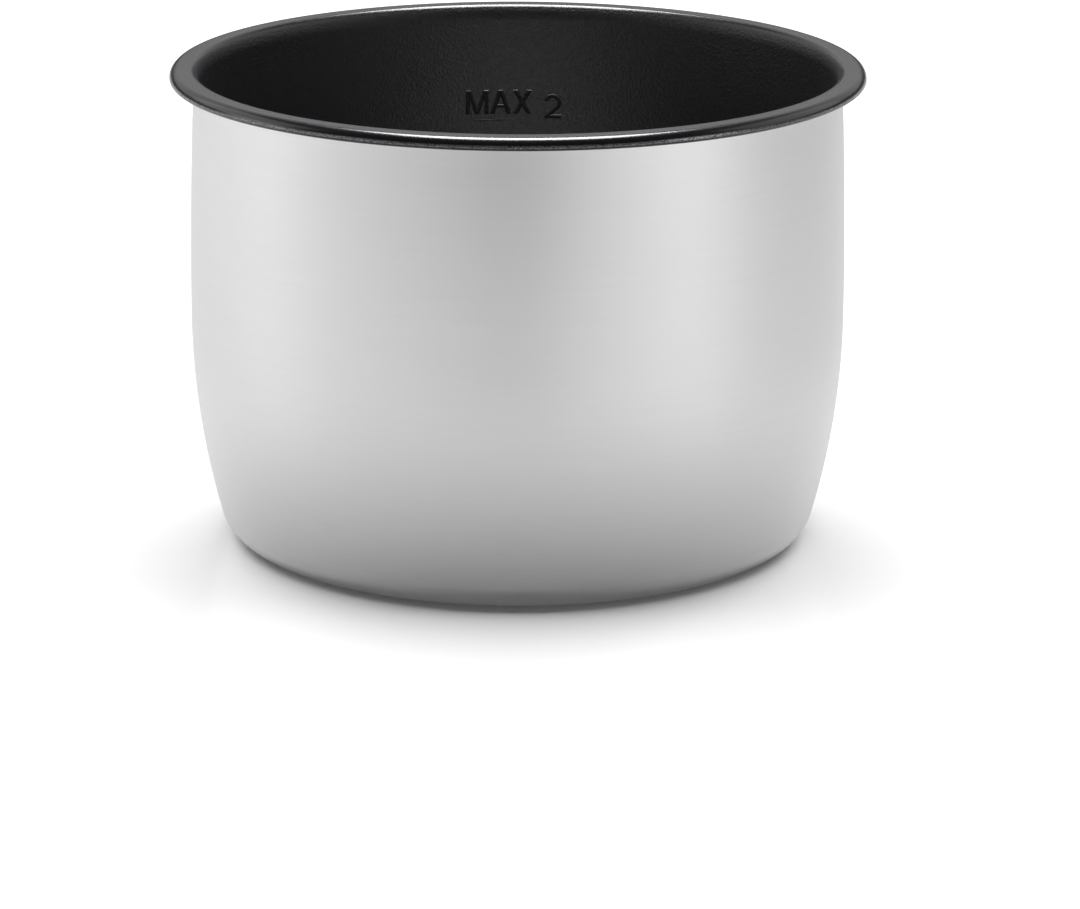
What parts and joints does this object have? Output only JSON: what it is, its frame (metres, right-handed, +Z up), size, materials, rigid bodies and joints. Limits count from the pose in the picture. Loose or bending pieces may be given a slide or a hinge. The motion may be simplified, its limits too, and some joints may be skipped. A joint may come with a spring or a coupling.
{
  "type": "pressure cooker inner pot",
  "caption": "Round drawn metal inner pot with a brushed outside, a black non-stick lining, and a flat flange with a turned-down lip.",
  "frame": {"origin": "on the pot's axis, in the plane that the pot stands on", "axes": "+Z up along the pot's axis, towards its mouth; the fill marks are on the +Y side of the inner wall and are read from -Y; +X is to the right of the marks as they are read"},
  "size_m": [0.1846, 0.1846, 0.1274],
  "materials": {
    "brushed_metal": "satin, finely brushed round the axis",
    "nonstick_coat": "satin black non-stick coat with a fine grain"
  },
  "bodies": {
    "root": {"pot_shell": "brushed_metal", "nonstick_lining": "nonstick_coat", "max_letters": "nonstick_coat", "max_line": "nonstick_coat", "litre_mark_2": "nonstick_coat", "litre_mark_1": "nonstick_coat"}
  },
  "joints": []
}
